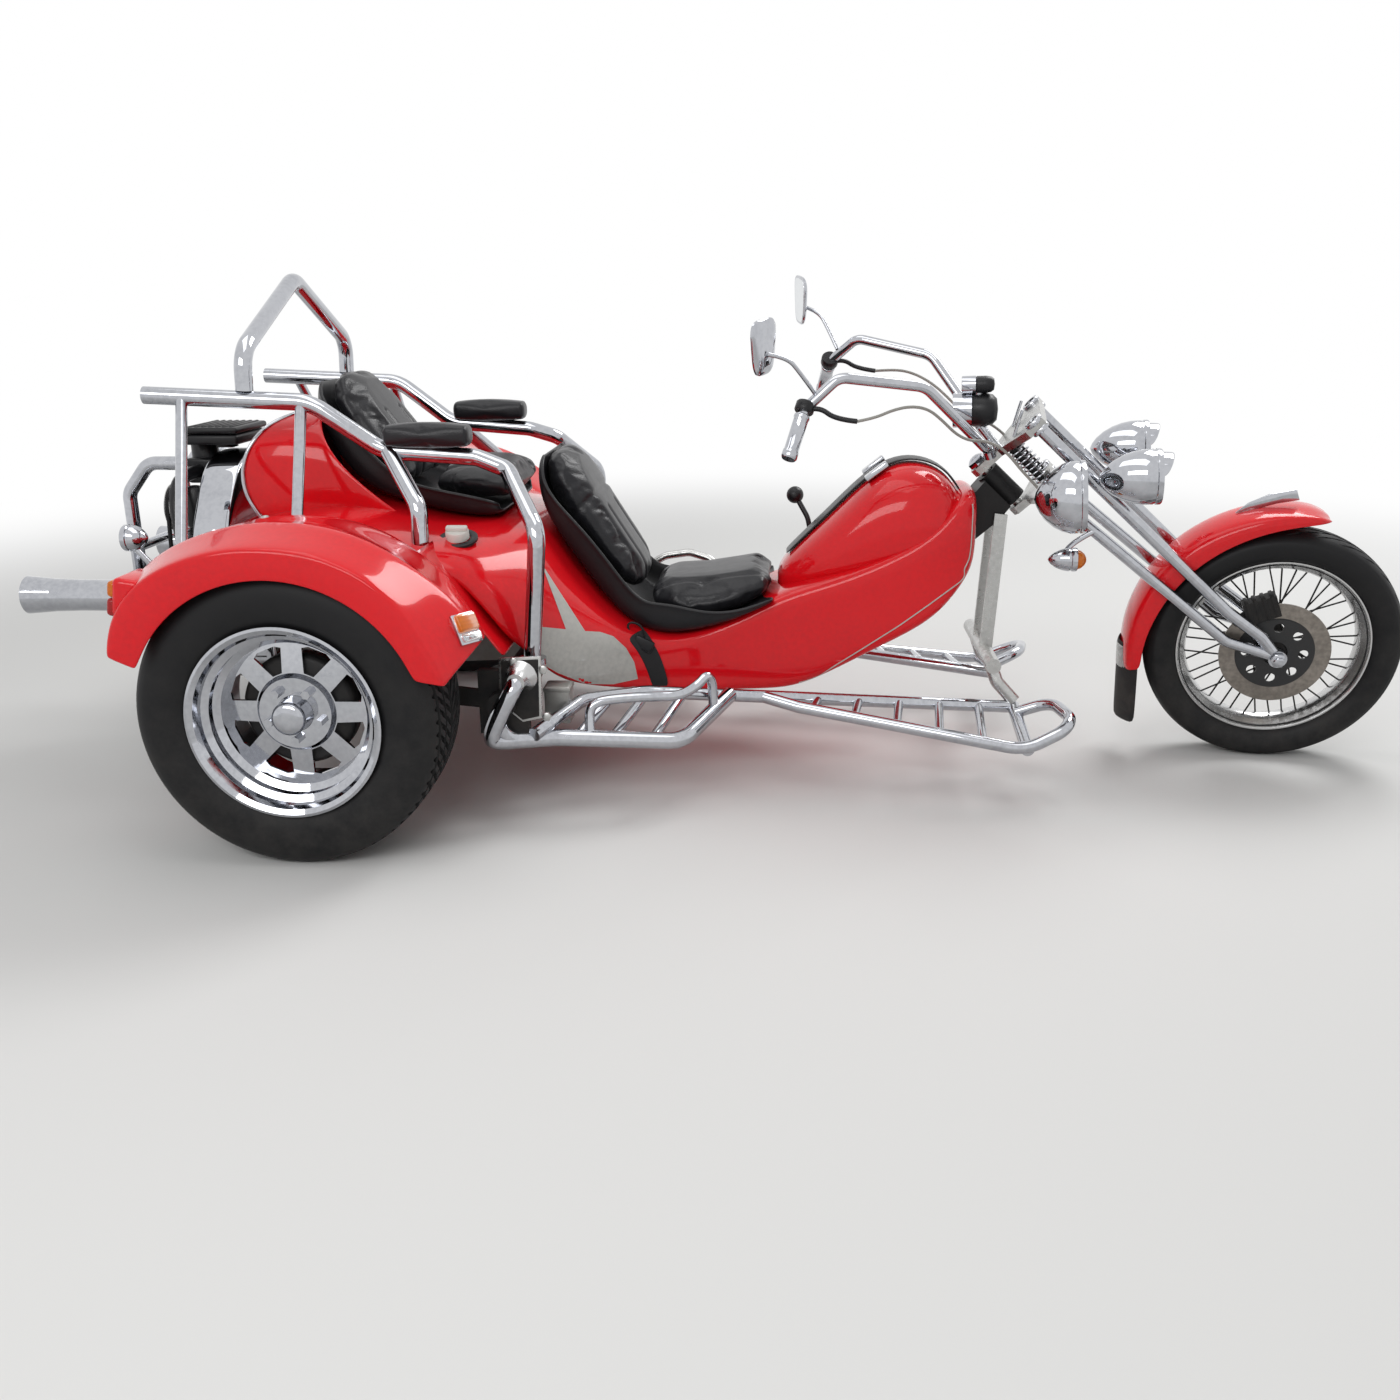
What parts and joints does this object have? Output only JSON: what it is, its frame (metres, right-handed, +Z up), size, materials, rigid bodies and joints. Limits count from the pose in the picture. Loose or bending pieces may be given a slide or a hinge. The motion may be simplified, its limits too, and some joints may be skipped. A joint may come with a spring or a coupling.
{
  "type": "motorized trike",
  "caption": "Open motor trike: raked sprung fork with a spoked wheel, two low seats in tandem, tube side rails, rear engine between wide wheels.",
  "frame": {"origin": "on the ground under the middle of the whole trike's box, with the fork turned as in the picture", "axes": "+X forward, +Y to the rider's left, +Z up"},
  "size_m": [3.3885, 1.74, 1.2252],
  "materials": {
    "amber_plastic": "clear amber lens",
    "black_leather": "soft black leather",
    "black_paint": "black paint",
    "black_plastic": "satin black plastic",
    "black_rubber": "matt rubber",
    "brushed_steel": "satin steel",
    "cast_alloy": "rough cast alloy",
    "chrome": "polished chrome",
    "disc_steel": "ground disc face",
    "grey_cable": "grey cable jacket",
    "red_paint": "gloss red paint",
    "tyre_rubber": "worn tyre rubber",
    "silver_paint": "silver panels on the flanks",
    "clear_plastic": "clear lamp lens",
    "mirror_glass": "mirror face",
    "white_plastic": "white cap",
    "belt_webbing": "woven belt strap"
  },
  "bodies": {
    "frame": {"torsion_tube": "black_paint", "rear_axle": "black_paint", "gearbox": "cast_alloy", "engine_block": "cast_alloy", "fan_shroud": "chrome", "belt_drive": "cast_alloy", "engine_guard": "chrome", "air_filter": "black_plastic", "exhausts": "chrome", "fuel_tank": "red_paint", "rear_fender_right": "red_paint", "rear_fender_left": "red_paint", "front_body": "red_paint", "rear_body": "red_paint", "seat_pod": "red_paint", "filler_cap": "black_plastic", "driver_seat_shell": "black_plastic", "driver_back_pad": "black_leather", "driver_cushion": "black_leather", "passenger_seat_shell": "black_plastic", "passenger_back_pad": "black_leather", "passenger_cushion": "black_leather", "side_rail_right": "chrome", "side_rail_left": "chrome", "arm_rests": "black_leather", "roll_hoop": "chrome", "foot_rack_right": "chrome", "foot_rack_left": "chrome", "head_struts": "chrome", "gear_lever": "black_plastic", "hand_lever": "brushed_steel", "frame_head": "black_paint", "rear_lamps": "chrome", "side_lamps": "amber_plastic", "tail_lamps": "amber_plastic"},
    "fork": {"fork_legs": "chrome", "yokes": "brushed_steel", "fork_springs": "chrome", "handlebar": "chrome", "grips": "chrome", "throttle_cable": "grey_cable", "clutch_cable": "grey_cable", "mirrors": "chrome", "gauges": "black_plastic", "headlamp": "chrome", "spot_lamps": "chrome", "turn_lamps": "chrome", "front_fender": "red_paint", "mud_flap": "black_rubber", "caliper": "black_paint"},
    "front_wheel": {"front_tyre": "tyre_rubber", "front_rim": "chrome", "brake_disc": "disc_steel"},
    "rear_wheel_right": {"rear_tyre_right": "tyre_rubber", "rear_rim_right": "chrome", "rear_hub_right": "chrome"},
    "rear_wheel_left": {"rear_tyre_left": "tyre_rubber", "rear_rim_left": "chrome", "rear_hub_left": "chrome"}
  },
  "joints": [
    {"name": "steering", "type": "hinge", "parent": "frame", "child": "fork", "pos_m": [0.655, 0, 0.73], "axis": [-0.7314, 0, 0.682], "range_deg": [-20.5, 43.5]},
    {"name": "front_wheel_spin", "type": "hinge", "parent": "fork", "child": "front_wheel", "pos_m": [1.38437, -0.03826, 0.30698], "axis": [0.136, 0.9799, 0.1458], "continuous": true},
    {"name": "rear_wheel_right_spin", "type": "hinge", "parent": "frame", "child": "rear_wheel_right", "pos_m": [-0.895, -0.725, 0.327], "axis": [0, 1, 0], "continuous": true},
    {"name": "rear_wheel_left_spin", "type": "hinge", "parent": "frame", "child": "rear_wheel_left", "pos_m": [-0.895, 0.725, 0.327], "axis": [0, 1, 0], "continuous": true}
  ]
}
